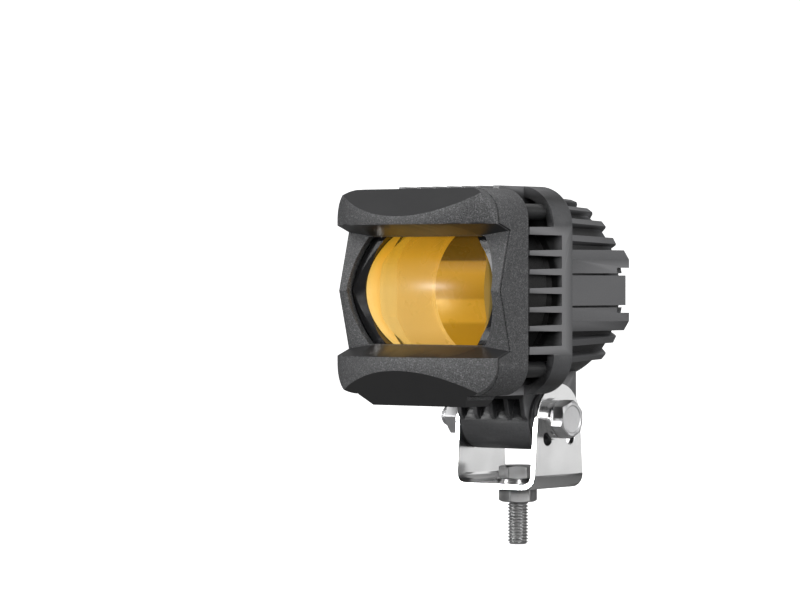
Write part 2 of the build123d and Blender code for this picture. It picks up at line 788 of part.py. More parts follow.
finned_shape = make_heat_sink()
with BuildPart() as heat_sink:
    add(finned_shape)
    add(rods(COVER_SCREWS, COVER_BOSS_R, WEB_BACK_Y, COVER_SEAT_Y))
    add(rods(COVER_SCREWS, M3_R + THREAD_FIT, COVER_TIP_Y - TIP_SPACE * 2, COVER_SEAT_Y), mode=Mode.SUBTRACT)
    add(rods(DRIVER_SCREWS, DRIVER_BOSS_R, WEB_BACK_Y, DRIVER_FRONT_Y))
    add(rods(DRIVER_SCREWS, M25_R + THREAD_FIT, WEB_BACK_Y + TIP_SPACE, DRIVER_FRONT_Y), mode=Mode.SUBTRACT)
    add(rods(LED_SCREWS, M3_R + THREAD_FIT, LED_SEAT_Y, LED_HOLE_END_Y), mode=Mode.SUBTRACT)
save(heat_sink, "heat_sink")

with BuildPart() as housing_seal:
    add(tube(COLLAR_R, TUBE_R + SEAL_INSET, BARREL_END_Y, COLLAR_Y))
save(housing_seal, "housing_seal")

with BuildPart() as case_screws:
    add(rods(CORNERS, M4_R, M4_TIP_Y, RING_BACK_Y))
    add(rods(CORNERS, M4_HEAD_R, RING_BACK_Y, RING_BACK_Y + M4_HEAD))
    with BuildSketch(facing(RING_BACK_Y + M4_HEAD)):
        with Locations(*CORNERS):
            RegularPolygon(M4_SOCKET_R, 6)
    extrude(amount=M4_SOCKET_DEPTH, mode=Mode.SUBTRACT)
save(case_screws, "case_screws")

# ---- driver and rear cover -----------------------------------------------------------
with BuildPart() as driver_board:
    add(tube(DRIVER_R, 0, DRIVER_FRONT_Y, DRIVER_BACK_Y))
    add(rods(DRIVER_SCREWS, M25_R + M25_PLAY, DRIVER_FRONT_Y, DRIVER_BACK_Y), mode=Mode.SUBTRACT)
save(driver_board, "driver_board")

with BuildPart() as driver_screws:
    add(rods(DRIVER_SCREWS, M25_R, DRIVER_FRONT_Y - DRIVER_SCREW_GRIP, DRIVER_BACK_Y))
    add(rods(DRIVER_SCREWS, M25_HEAD_R, DRIVER_BACK_Y, DRIVER_BACK_Y + M25_HEAD))
save(driver_screws, "driver_screws")

with BuildPart() as driver_parts:
    with BuildSketch(facing(DRIVER_BACK_Y)):
        with Locations((-CAN_X, CAN_Z), (-CAN_X, -CAN_Z)):
            Circle(CAN_R)
        with Locations((COIL_X, 0)):
            Rectangle(COIL_WIDTH, COIL_HEIGHT)
    extrude(amount=-DRIVER_PART_DEPTH)
save(driver_parts, "driver_parts")

GLAND_Z = -8.0
GLAND_R = 4.0
GLAND_PLAY = 0.05
VENT_Z = 9.0
VENT_R = 2.5
VENT_CAP_R = 4.6
VENT_CAP = 2.0
VENT_CHAMFER = 0.8
with BuildPart() as rear_cover:
    add(tube(COVER_BORE_R - COVER_PLAY, 0, COVER_FRONT_Y, COVER_BACK_Y))
    with BuildSketch(facing(COVER_BACK_Y)):
        with Locations((0, GLAND_Z)):
            Circle(GLAND_R + GLAND_PLAY)
        with Locations((0, VENT_Z)):
            Circle(VENT_R + GLAND_PLAY)
        with Locations(*COVER_SCREWS):
            Circle(M3_R + M3_PLAY)
    extrude(amount=COVER_BACK_Y - COVER_FRONT_Y, mode=Mode.SUBTRACT)
save(rear_cover, "rear_cover")

with BuildPart() as cover_seal:
    add(tube(COVER_BORE_R - COVER_PLAY, DRIVER_BORE_R + COVER_SEAL_INSET, COVER_SEAT_Y, COVER_FRONT_Y))
save(cover_seal, "cover_seal")

with BuildPart() as cover_screws:
    add(rods(COVER_SCREWS, M3_R, COVER_TIP_Y, COVER_BACK_Y))
    add(rods(COVER_SCREWS, M3_HEAD_R, COVER_BACK_Y, COVER_BACK_Y + M3_HEAD))
    with BuildSketch(facing(COVER_BACK_Y + M3_HEAD)):
        with Locations(*COVER_SCREWS):
            RegularPolygon(M3_SOCKET_R, 6)
    extrude(amount=M3_SOCKET_DEPTH, mode=Mode.SUBTRACT)
save(cover_screws, "cover_screws")

with BuildPart() as breather_vent:
    add(rods([(0, VENT_Z)], VENT_R, COVER_FRONT_Y, COVER_BACK_Y))
    add(rods([(0, VENT_Z)], VENT_CAP_R, COVER_BACK_Y, COVER_BACK_Y + VENT_CAP))
    chamfer(breather_vent.faces().sort_by(Axis.Y)[-1].edges(), VENT_CHAMFER)
save(breather_vent, "breather_vent")

GLAND_BORE_R = 2.6
GLAND_FLANGE_Y = COVER_BACK_Y + 3.0
GLAND_END_Y = GLAND_FLANGE_Y + 4.0
GLAND_HEX_R = 6.0
NUT_HEX_R = 5.6
NUT_HEX_DEPTH = 3.4
NUT_DOME_R = 5.3
NUT_END_Y = GLAND_FLANGE_Y + 5.6
NUT_CHAMFER = 1.2
with BuildPart() as cable_gland:
    add(rods([(0, GLAND_Z)], GLAND_R, COVER_FRONT_Y, GLAND_END_Y))
    with BuildSketch(facing(GLAND_FLANGE_Y)):
        with Locations((0, GLAND_Z)):
            RegularPolygon(GLAND_HEX_R, 6, major_radius=False)
    extrude(amount=GLAND_FLANGE_Y - COVER_BACK_Y)
    add(rods([(0, GLAND_Z)], GLAND_BORE_R, COVER_FRONT_Y, GLAND_END_Y), mode=Mode.SUBTRACT)
save(cable_gland, "cable_gland")

with BuildPart() as gland_nut:
    with BuildSketch(facing(GLAND_FLANGE_Y + NUT_HEX_DEPTH)):
        with Locations((0, GLAND_Z)):
            RegularPolygon(NUT_HEX_R, 6, major_radius=False)
    extrude(amount=NUT_HEX_DEPTH)
    add(rods([(0, GLAND_Z)], NUT_DOME_R, GLAND_FLANGE_Y + NUT_HEX_DEPTH, NUT_END_Y))
    chamfer(gland_nut.faces().sort_by(Axis.Y)[-1].edges(), NUT_CHAMFER)
    add(rods([(0, GLAND_Z)], GLAND_R + THREAD_FIT, GLAND_FLANGE_Y, GLAND_END_Y), mode=Mode.SUBTRACT)
    add(rods([(0, GLAND_Z)], GLAND_BORE_R, GLAND_FLANGE_Y, NUT_END_Y), mode=Mode.SUBTRACT)
save(gland_nut, "gland_nut")


# ---- pivot bushes -------------------------------------------------------------------
def bush(side):
    """Disc between the barrel end and a bracket leg."""
    inner = side * FOOT_HALF
    outer = side * (FOOT_HALF + BUSH_THICK)
    start = min(inner, outer)
    end = max(inner, outer)
    return disc_x(BUSH_R, start, end) - disc_x(PIVOT_BORE_R, start, end)


with BuildPart() as pivot_bush_right:
    add(bush(1))
save(pivot_bush_right, "pivot_bush_right")

with BuildPart() as pivot_bush_left:
    add(bush(-1))
save(pivot_bush_left, "pivot_bush_left")


# ---- bracket --------------------------------------------------------------------------
LEG_OUTER = LEG_INNER + SHEET
LEG_APEX = LEG_TOP_Z + LEG_TOP_R
LEG_ARC_Z = LEG_TOP_Z + 1.4      # where the round top meets the tapered sides
LEG_TOP_HALF = 13.93

with BuildPart() as bracket:
    with BuildSketch(Plane.XZ):
        with BuildLine():
            FilletPolyline(
                (-LEG_OUTER, LEG_APEX + OVERSHOOT),
                (-LEG_OUTER, BASE_Z),
                (LEG_OUTER, BASE_Z),
                (LEG_OUTER, LEG_APEX + OVERSHOOT),
                radius=BEND_R,
            )
            FilletPolyline(
                (-LEG_INNER, LEG_APEX + OVERSHOOT),
                (-LEG_INNER, BASE_Z + SHEET),
                (LEG_INNER, BASE_Z + SHEET),
                (LEG_INNER, LEG_APEX + OVERSHOOT),
                radius=BEND_R - SHEET,
            )
            Line((-LEG_OUTER, LEG_APEX + OVERSHOOT), (-LEG_INNER, LEG_APEX + OVERSHOOT))
            Line((LEG_OUTER, LEG_APEX + OVERSHOOT), (LEG_INNER, LEG_APEX + OVERSHOOT))
        make_face()
    extrude(amount=BASE_HALF, both=True)
    with BuildSketch(Plane.YZ):
        with BuildLine():
            left = (-LEG_TOP_HALF, LEG_ARC_Z)
            right = (LEG_TOP_HALF, LEG_ARC_Z)
            Polyline(left, (-BASE_HALF, BASE_Z), (BASE_HALF, BASE_Z), right)
            ThreePointArc(left, (0, LEG_APEX), right)
        make_face()
    extrude(amount=LEG_OUTER + OVERSHOOT, both=True, mode=Mode.INTERSECT)
    add(disc_x(M8_R + BOLT_FIT, -FAR, FAR), mode=Mode.SUBTRACT)
    for y in (-SIDE_HOLE_Y, SIDE_HOLE_Y):
        add(disc_x(SIDE_HOLE_R, -FAR, FAR, y=y, z=PIVOT_Z - SIDE_HOLE_DROP), mode=Mode.SUBTRACT)
    add(disc_z(STUD_HOLE_R, 0, BASE_Z + SHEET + OVERSHOOT), mode=Mode.SUBTRACT)
save(bracket, "bracket")


# ---- pivot hardware --------------------------------------------------------------------
WASHER_X = LEG_OUTER + WASHER_THICK
SPRING_X = WASHER_X + SPRING_THICK
HEAD_X = SPRING_X + HEAD_HEIGHT
NUT_X = -WASHER_X - NUT_HEIGHT
TIP_X = NUT_X - BOLT_TIP
HEAD_TURN = 20.0
NUT_TURN = 0.0

with BuildPart() as pivot_flat_washer:
    add(disc_x(WASHER_R, LEG_OUTER, WASHER_X) - disc_x(M8_R + WASHER_PLAY, LEG_OUTER, WASHER_X))
save(pivot_flat_washer, "pivot_flat_washer")

with BuildPart() as pivot_spring_washer:
    add(disc_x(SPRING_R, WASHER_X, SPRING_X) - disc_x(M8_R + SPRING_PLAY, WASHER_X, SPRING_X))
    with BuildSketch(Plane(origin=(WASHER_X, PIVOT_Y, PIVOT_Z), x_dir=(0, 1, 0), z_dir=(1, 0, 0))):
        with Locations((0, -SPRING_R)):
            Rectangle(SPRING_SPLIT, 2 * (SPRING_R - M8_R), rotation=SPLIT_TURN)
    extrude(amount=SPRING_THICK, mode=Mode.SUBTRACT)
save(pivot_spring_washer, "pivot_spring_washer")

with BuildPart() as pivot_bolt:
    add(disc_x(M8_R, TIP_X, SPRING_X))
    chamfer(pivot_bolt.faces().sort_by(Axis.X)[0].edges(), TIP_CHAMFER)
    add(hexagon_x(SPRING_X, HEAD_X, HEAD_TURN) & disc_x(HEX_CORNER_R, SPRING_X, HEAD_X))
save(pivot_bolt, "pivot_bolt")

with BuildPart() as pivot_nut_washer:
    add(disc_x(WASHER_R, -WASHER_X, -LEG_OUTER) - disc_x(M8_R + WASHER_PLAY, -WASHER_X, -LEG_OUTER))
save(pivot_nut_washer, "pivot_nut_washer")

with BuildPart() as pivot_nut:
    add(hexagon_x(NUT_X, -WASHER_X, NUT_TURN) & disc_x(HEX_CORNER_R, NUT_X, -WASHER_X))
    add(disc_x(M8_R + THREAD_FIT, NUT_X, -WASHER_X), mode=Mode.SUBTRACT)
save(pivot_nut, "pivot_nut")


# ---- stud hardware -----------------------------------------------------------------------
BASE_TOP = BASE_Z + SHEET + CONTACT_GAP
STUD_HEAD_Z = BASE_TOP + STUD_WASHER_THICK
STUD_NUT_TURN = 36.4 - 54.0
STUD_HEAD_TURN = -32.0 - 54.0

with BuildPart() as stud_bolt:
    add(disc_z(M8_R, -STUD_LENGTH, 0))
    chamfer(stud_bolt.faces().sort_by(Axis.Z)[0].edges(), TIP_CHAMFER)
    add(disc_z(STUD_NECK_R, 0, STUD_HEAD_Z))
    add(disc_z(STUD_SHOULDER_R, STUD_NUT_HEIGHT, BASE_TOP - CONTACT_GAP))
    add(hexagon_z(STUD_HEAD_Z, STUD_HEAD_Z + STUD_HEAD_HEIGHT, STUD_HEAD_TURN)
        & disc_z(HEX_CORNER_R, STUD_HEAD_Z, STUD_HEAD_Z + STUD_HEAD_HEIGHT))
save(stud_bolt, "stud_bolt")

with BuildPart() as stud_washer:
    add(disc_z(WASHER_R, BASE_TOP, STUD_HEAD_Z) - disc_z(M8_R + WASHER_PLAY, BASE_TOP, STUD_HEAD_Z))
save(stud_washer, "stud_washer")

with BuildPart() as stud_nut:
    add(hexagon_z(0, STUD_NUT_HEIGHT, STUD_NUT_TURN) & disc_z(HEX_CORNER_R, 0, STUD_NUT_HEIGHT))
    add(disc_z(STUD_NECK_R + THREAD_FIT, 0, STUD_NUT_HEIGHT), mode=Mode.SUBTRACT)
save(stud_nut, "stud_nut")
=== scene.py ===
"""Fog light on a U-bracket: materials, machined detail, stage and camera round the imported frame."""
import json
import math

import bpy
from mathutils import Matrix, Vector


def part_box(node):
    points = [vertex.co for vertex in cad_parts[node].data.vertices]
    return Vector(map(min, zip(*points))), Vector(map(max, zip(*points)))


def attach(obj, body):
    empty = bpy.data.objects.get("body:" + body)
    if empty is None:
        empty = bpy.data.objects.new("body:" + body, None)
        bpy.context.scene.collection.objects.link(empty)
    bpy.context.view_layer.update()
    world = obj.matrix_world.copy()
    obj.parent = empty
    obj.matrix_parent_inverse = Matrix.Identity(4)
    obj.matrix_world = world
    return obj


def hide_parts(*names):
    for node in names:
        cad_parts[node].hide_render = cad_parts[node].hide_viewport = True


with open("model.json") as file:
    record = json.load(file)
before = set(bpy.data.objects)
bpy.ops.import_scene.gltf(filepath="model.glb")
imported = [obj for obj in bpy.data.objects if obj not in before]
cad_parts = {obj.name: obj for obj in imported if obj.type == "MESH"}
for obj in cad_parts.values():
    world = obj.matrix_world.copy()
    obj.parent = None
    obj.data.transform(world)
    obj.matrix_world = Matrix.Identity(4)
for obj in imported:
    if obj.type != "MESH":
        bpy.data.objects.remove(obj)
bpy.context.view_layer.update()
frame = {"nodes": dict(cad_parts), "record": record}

MM = 0.001
TAU = 2 * math.pi

# ---- places taken from the frame ------------------------------------------------
joints = {joint["name"]: joint for joint in frame["record"]["behaviour"]["joints"]}
PIVOT = Vector(joints["lamp_tilt"]["pos_m"])
LENS_LOW, LENS_HIGH = (Vector(corner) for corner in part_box("lens"))
AXIS_Z = (LENS_LOW.z + LENS_HIGH.z) / 2
STUD_LOW, STUD_HIGH = (Vector(corner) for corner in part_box("stud_bolt"))
FLOOR_Z = STUD_LOW.z - 0.2 * MM  # just under the stud's tip
RING_BACK_Y = -17.0 * MM
BEZEL_BACK_Y = -45.0 * MM

# M8 hardware
M8_R = 4.0 * MM
THREAD_PITCH = 1.25 * MM
THREAD_DEPTH = 0.76 * MM
THREAD_ROWS = 10  # rings of vertices in each turn of thread
THREAD_RELIEF = 0.01 * MM
FLANK_SLOPE = 1.5
CREST_FLAT = 0.25
THREAD_RUNOUT = 0.3 * MM
SHANK_RELIEF = 0.06 * MM
HEX_AF = 13.0 * MM
HEX_CORNER_R = 7.4 * MM
HEX_CHAMFER = math.tan(math.radians(28))
RIM_SHARE = 0.97  # flat face of a nut, as a share of the hexagon's inner radius
HEAD_RIM_SHARE = 0.96  # the same for a bolt's head
HEAD_DISH = ((0.86, 0.02 * MM), (0.80, 0.22 * MM), (0.30, 0.28 * MM))  # share of the rim, depth
UNDERHEAD_RISE = 0.1 * MM
UNDERHEAD_CHAMFER = -0.3
BORE_CLEARANCE = 0.02 * MM
BORE_CHAMFER = 0.45 * MM
BORE_CHAMFER_DEPTH = 0.5 * MM
STUD_HEAD_HEIGHT = 5.0 * MM
STUD_HEAD_TURN = math.radians(-86)
STUD_NUT_TURN = math.radians(-17.6)
PIVOT_HEAD_HEIGHT = 5.3 * MM
PIVOT_HEAD_TURN = math.radians(20)
PIVOT_THREAD = 18 * MM
TIP_CHAMFER = 0.95 * MM

# optic
SLEEVE_INNER_R = 28.3 * MM
SLEEVE_OUTER_R = 28.65 * MM
SLEEVE_LAP = 0.1 * MM
SLEEVE_GAP = 0.05 * MM
LENS_RIM_R = 26.6 * MM

# where the fascia's faces are smooth
SCOOP_SLOPE = math.sqrt(0.5)
SCOOP_TOLERANCE = 0.04
SCOOP_FORWARD = -0.6  # the normal's Y on a face that looks forward
UNDERSIDE_TILT = -0.25  # the normal's outward part under a visor
UNDERSIDE_Z = 20.7 * MM
CHIN_SMOOTH_Z = -40.4 * MM

# depth into the cage and between the fins over which painted shade runs from dark to open
CAGE_X = (33.6 * MM, 36.6 * MM)
CAGE_Z = (35.2 * MM, 38.2 * MM)
CORE_R = (35.4 * MM, 37.4 * MM)
FIN_FADE_Y = (12 * MM, 17 * MM)

# height over which the stud hardware's darker tone gives way to the bright one
LOW_TONE_Z = (14 * MM, 16 * MM)


# ---- node helpers -----------------------------------------------------------------
class Paint:
    """A material with a Principled shader and short calls for its nodes."""

    def __init__(self, name, color, roughness, metallic=0.0):
        self.mat = bpy.data.materials.new(name)
        self.mat.use_nodes = True
        self.tree = self.mat.node_tree
        self.shader = self.tree.nodes["Principled BSDF"]
        self.shader.inputs["Base Color"].default_value = (*color, 1)
        self.shader.inputs["Roughness"].default_value = roughness
        self.shader.inputs["Metallic"].default_value = metallic
        self.mat.diffuse_color = (*color, 1)

    def node(self, kind, inputs=None, **settings):
        """Adds a node; an input given as a socket is linked, any other value is set."""
        made = self.tree.nodes.new(kind)
        for key, value in settings.items():
            setattr(made, key, value)
        for key, value in (inputs or {}).items():
            self.feed(made, key, value)
        return made

    def feed(self, made, key, value):
        if isinstance(value, bpy.types.NodeSocket):
            self.tree.links.new(value, made.inputs[key])
        else:
            made.inputs[key].default_value = value

    def coords(self):
        return self.node("ShaderNodeTexCoord").outputs["Object"]

    def noise(self, size, detail=2.0, stretch=None, rough=0.5):
        """Noise with features of about the given size in metres."""
        place = self.coords()
        if stretch:
            place = self.node("ShaderNodeMapping", {"Vector": place, "Scale": stretch}).outputs["Vector"]
        made = self.node(
            "ShaderNodeTexNoise",
            {"Vector": place, "Scale": 1 / size, "Detail": detail, "Roughness": rough},
        )
        return made.outputs["Fac"]

    def cells(self, size):
        """Random value for each small cell."""
        made = self.node("ShaderNodeTexVoronoi", {"Vector": self.coords(), "Scale": 1 / size})
        return self.node("ShaderNodeSeparateColor", {"Color": made.outputs["Color"]}).outputs["Red"]

    def remap(self, value, low, high, to_low, to_high):
        made = self.node(
            "ShaderNodeMapRange",
            {"Value": value, "From Min": low, "From Max": high, "To Min": to_low, "To Max": to_high},
        )
        return made.outputs["Result"]

    def math(self, operation, a, b=0.0):
        return self.node("ShaderNodeMath", {0: a, 1: b}, operation=operation).outputs[0]

    def mix(self, factor, a, b):
        made = self.node("ShaderNodeMix", data_type="RGBA")
        self.feed(made, 0, factor)
        self.feed(made, 6, a if isinstance(a, bpy.types.NodeSocket) else (*a, 1))
        self.feed(made, 7, b if isinstance(b, bpy.types.NodeSocket) else (*b, 1))
        return made.outputs[2]

    def bump(self, height, depth, strength=1.0):
        """Bump of the given depth in metres."""
        made = self.node("ShaderNodeBump", {"Height": height, "Distance": depth, "Strength": strength})
        self.feed(self.shader, "Normal", made.outputs["Normal"])

    def edge_highlight(self, low=0.52, high=0.62):
        """1 along raised edges, 0 on flats; it places painted edge highlights."""
        sharp = self.node("ShaderNodeNewGeometry").outputs["Pointiness"]
        return self.remap(sharp, low, high, 0, 1)

    def squared(self, value):
        return self.math("MULTIPLY", value, value)

    def places(self):
        """Sockets for X, Y, height above the optical axis and distance from it."""
        place = self.node("ShaderNodeSeparateXYZ", {"Vector": self.coords()})
        height = self.math("SUBTRACT", place.outputs["Z"], AXIS_Z)
        total = self.math("ADD", self.squared(place.outputs["X"]), self.squared(height))
        return place.outputs["X"], place.outputs["Y"], height, self.math("SQRT", total)

    def normals(self):
        """Separated normal of the surface in object space."""
        texture = self.node("ShaderNodeTexCoord")
        return self.node("ShaderNodeSeparateXYZ", {"Vector": texture.outputs["Normal"]})

    def set(self, **values):
        for key, value in values.items():
            self.feed(self.shader, key.replace("_", " "), value)


def fill_ramp(ramp, rows):
    """Stops of a colour ramp from rows of place and colour; it starts with two of its own."""
    stops = ramp.color_ramp.elements
    for index, (at, color) in enumerate(rows):
        stop = stops[index] if index < 2 else stops.new(at)
        stop.position = at
        stop.color = (*color, 1)


# ---- materials ------------------------------------------------------------------------
DEEP_SHADE = (0.006, 0.006, 0.006)
PLAIN_BLACK = (0.018, 0.018, 0.019)
# pale grey for painted glints and painted edge highlights
HIGHLIGHT_GREY = (0.16, 0.16, 0.165)


def smooth_faces(paint):
    """1 on the fascia's smooth scoops and visor undersides, 0 on its textured faces."""
    normal = paint.normals()
    height = paint.places()[2]
    side = paint.math("SIGN", height)
    outward = paint.math("MULTIPLY", normal.outputs["Z"], side)
    slope = paint.math("COMPARE", outward, SCOOP_SLOPE)
    slope.node.inputs[2].default_value = SCOOP_TOLERANCE
    forward = paint.math("LESS_THAN", normal.outputs["Y"], SCOOP_FORWARD)
    scoop = paint.math("MULTIPLY", slope, forward)
    past = paint.math("GREATER_THAN", paint.math("ABSOLUTE", height), UNDERSIDE_Z)
    under = paint.math("MULTIPLY", past, paint.math("LESS_THAN", outward, UNDERSIDE_TILT))
    low = paint.math("LESS_THAN", height, CHIN_SMOOTH_Z)
    return paint.math("MAXIMUM", paint.math("MAXIMUM", scoop, under), low)


def textured_black():
    """Fine powder coat with pale flecks painted on as glints; scoops and undersides smooth and darker,
    partly as painted shade; the bezel's barrel painted in deep shade.
    """
    paint = Paint("textured_black", (0.05, 0.051, 0.054), 0.5)
    smooth = smooth_faces(paint)
    rough_part = paint.math("SUBTRACT", 1.0, smooth)
    grain = paint.noise(0.42 * MM, 3.0, rough=0.65)
    # pale flecks at random cells are painted glints of the coated grain
    spark = paint.remap(paint.cells(0.38 * MM), 0.80, 0.97, 0, 1)
    broad = paint.noise(9 * MM, 2.0)
    # smooth faces darker: partly their satin finish, partly painted shade on faces that look down
    plain = paint.mix(broad, (0.012, 0.012, 0.013), PLAIN_BLACK)
    grained = paint.mix(paint.remap(grain, 0.36, 0.66, 0, 1), PLAIN_BLACK, (0.092, 0.093, 0.096))
    sparkled = paint.mix(paint.math("MULTIPLY", spark, 0.7), grained, HIGHLIGHT_GREY)
    # painted deep shade on the bezel's barrel behind its back face, inside the cage
    barrel = paint.math("GREATER_THAN", paint.places()[1], BEZEL_BACK_Y + 0.3 * MM)
    coated = paint.mix(rough_part, plain, sparkled)
    paint.set(Base_Color=paint.mix(barrel, coated, DEEP_SHADE))
    paint.set(Roughness=paint.remap(paint.math("MULTIPLY", grain, rough_part), 0.3, 0.7, 0.42, 0.56))
    paint.bump(paint.math("MULTIPLY", grain, rough_part), 0.26 * MM, 0.8)
    return paint.mat


def cage_shade(paint):
    """1 deep inside the ribbed cage, 0 on its outside; it places painted shade."""
    x, y, height, radius = paint.places()
    front = paint.math("LESS_THAN", y, RING_BACK_Y - 0.5 * MM)
    across = paint.remap(paint.math("ABSOLUTE", x), CAGE_X[1], CAGE_X[0], 0, 1)
    tall = paint.remap(paint.math("ABSOLUTE", height), CAGE_Z[1], CAGE_Z[0], 0, 1)
    inside = paint.math("MULTIPLY", paint.math("MULTIPLY", across, tall), 0.8)
    core = paint.remap(radius, CORE_R[1], CORE_R[0], 0, 1)
    return paint.math("MULTIPLY", front, paint.math("MAXIMUM", inside, core))


def fin_shade(paint):
    """Painted shade down between the fins, fading out before the rear face."""
    _, y, _, radius = paint.places()
    behind = paint.math("GREATER_THAN", y, RING_BACK_Y + 0.1 * MM)
    fade = paint.remap(y, *FIN_FADE_Y, 1, 0)
    valley_shade = paint.remap(radius, CORE_R[1], CORE_R[0], 0, 0.85)
    return paint.math("MULTIPLY", paint.math("MULTIPLY", behind, fade), valley_shade)


def housing_black():
    """Satin black over a fine cast surface, with painted highlights on raised edges and painted shade
    deep between the ribs and fins.
    """
    paint = Paint("housing_black", (0.06, 0.061, 0.064), 0.42)
    peel = paint.noise(0.7 * MM, 4.0)
    broad = paint.noise(16 * MM, 2.0)
    # painted shade deep in the cage and down between the fins
    depth = paint.math("MAXIMUM", cage_shade(paint), fin_shade(paint))
    base = paint.mix(broad, (0.024, 0.025, 0.026), (0.036, 0.037, 0.039))
    speckled = paint.mix(paint.remap(peel, 0.35, 0.65, 0, 0.5), base, (0.072, 0.073, 0.077))
    # raised edges lightened as a painted highlight
    edged = paint.mix(paint.edge_highlight(), speckled, HIGHLIGHT_GREY)
    paint.set(Base_Color=paint.mix(depth, edged, DEEP_SHADE))
    paint.set(Roughness=paint.remap(peel, 0.3, 0.7, 0.38, 0.50))
    paint.bump(peel, 0.06 * MM, 0.6)
    return paint.mat


def gloss_black():
    """Polished black plastic with faint waviness."""
    paint = Paint("gloss_black", (0.006, 0.006, 0.007), 0.12)
    paint.set(Coat_Weight=0.6, Coat_Roughness=0.05)
    paint.set(Roughness=paint.remap(paint.noise(6 * MM), 0.3, 0.7, 0.10, 0.2))
    paint.bump(paint.noise(8 * MM), 0.03 * MM, 0.3)
    return paint.mat


# amber tones for the painted light, reflections and shade on the optic
AMBER_SHADE = (0.10, 0.045, 0.002)
AMBER_DARK = (0.06, 0.035, 0.002)
AMBER_DEEP = (0.44, 0.26, 0.015)
AMBER = (0.67, 0.42, 0.04)
AMBER_PALE = (0.80, 0.60, 0.21)

# painted light, reflections and shade up the optic, as shares of the lens radius above or below its axis
TUBE_LIGHT_BANDS = ((-1.0, AMBER_DEEP), (-0.45, AMBER_PALE), (0.0, AMBER_PALE), (0.4, AMBER), (0.7, AMBER_DEEP))
BOWL_REFLECTION_BANDS = (
    (-0.40, AMBER_DEEP),
    (-0.36, AMBER),
    (-0.12, AMBER),
    (-0.09, AMBER_DEEP),
    (0.20, AMBER),
    (0.33, AMBER_DEEP),
    (0.35, AMBER_DARK),
    (0.65, AMBER_DARK),
)
LENS_R = (LENS_HIGH.z - LENS_LOW.z) / 2
LENS_CROWN_R = 0.14  # the lens shades as if it bulged sideways at this radius
LENS_WALL_TILT = 0.2  # the normal's Y on the lens's side walls is below this
TUBE_END_Y = -17.0 * MM


def bands(paint, height, table):
    """Colour by height above the optical axis."""
    ramp = paint.node("ShaderNodeValToRGB", {"Fac": paint.remap(height, -LENS_R, LENS_R, 0, 1)})
    fill_ramp(ramp, [((share + 1) / 2, color) for share, color in table])
    return ramp.outputs["Color"]


def amber_lens():
    """Clear amber moulding whose side walls and flange carry painted light and shade from inside, shining
    by emission as painted light.
    """
    paint = Paint("amber_lens", (0.80, 0.42, 0.035), 0.12)
    broad = paint.noise(22 * MM, 1.0)
    x, y, height, radius = paint.places()
    wall = paint.math("LESS_THAN", paint.math("ABSOLUTE", paint.normals().outputs["Y"]), LENS_WALL_TILT)
    rear = paint.math("GREATER_THAN", y, LENS_HIGH.y - 0.1 * MM)
    rim = paint.math("MULTIPLY", rear, paint.math("GREATER_THAN", radius, LENS_RIM_R))
    side = paint.math("MAXIMUM", wall, rim)
    clear = paint.mix(broad, (0.70, 0.34, 0.02), (0.84, 0.46, 0.05))
    # painted shade towards the right of the lens's side walls
    right = paint.remap(x, 8 * MM, 26 * MM, 0, 0.7)
    painted_tones = paint.mix(right, bands(paint, height, TUBE_LIGHT_BANDS), AMBER_DARK)
    # the side walls and flange shine by emission as painted light
    painted_glow = paint.mix(side, (0.0, 0.0, 0.0), painted_tones)
    paint.set(
        Base_Color=paint.mix(side, clear, painted_tones),
        Roughness=paint.remap(broad, 0.3, 0.7, 0.20, 0.24),
        Alpha=paint.remap(side, 0.0, 1.0, 0.09, 0.92),
        Emission_Color=painted_glow,
        Emission_Strength=0.45,
        IOR=1.58,
    )
    crown = paint.math("MULTIPLY", paint.squared(x), -0.5 / LENS_CROWN_R)
    paint.bump(crown, 1.0)
    return paint.mat


def amber_mirror():
    """Metallised optic painted as it looks through amber: painted light on a pale tube wall, then a bowl
    of painted reflection bands with painted shade to the right, all shining by emission as painted light.
    """
    paint = Paint("amber_mirror", (0.80, 0.50, 0.12), 0.30, 0.1)
    haze = paint.noise(9 * MM, 2.0)
    x, y, height, _ = paint.places()
    waved = paint.math("ADD", height, paint.remap(haze, 0.3, 0.7, -0.5 * MM, 0.5 * MM))
    behind = paint.math("GREATER_THAN", y, TUBE_END_Y)
    # painted shade towards the right of the bowl
    right = paint.remap(x, -12 * MM, 26 * MM, 0, 0.55)
    tube = bands(paint, waved, TUBE_LIGHT_BANDS)
    bowl = paint.mix(right, bands(paint, height, BOWL_REFLECTION_BANDS), AMBER_SHADE)
    painted_optic_light = paint.mix(behind, tube, bowl)
    # emission makes the painted light shine though no lamp is lit
    paint.set(Base_Color=painted_optic_light, Emission_Color=painted_optic_light, Emission_Strength=0.38)
    paint.set(Roughness=paint.remap(haze, 0.3, 0.7, 0.24, 0.36))
    return paint.mat


def stainless():
    """Polished sheet stainless with a faint rolling grain."""
    paint = Paint("stainless", (0.72, 0.72, 0.72), 0.22, 1.0)
    grain = paint.noise(0.5 * MM, 2.0, stretch=(1, 1, 0.05))
    smear = paint.noise(12 * MM, 3.0)
    paint.set(Base_Color=paint.mix(smear, (0.60, 0.60, 0.60), (0.76, 0.76, 0.76)))
    paint.set(Roughness=paint.remap(smear, 0.3, 0.7, 0.16, 0.28))
    paint.bump(grain, 0.014 * MM, 0.5)
    return paint.mat


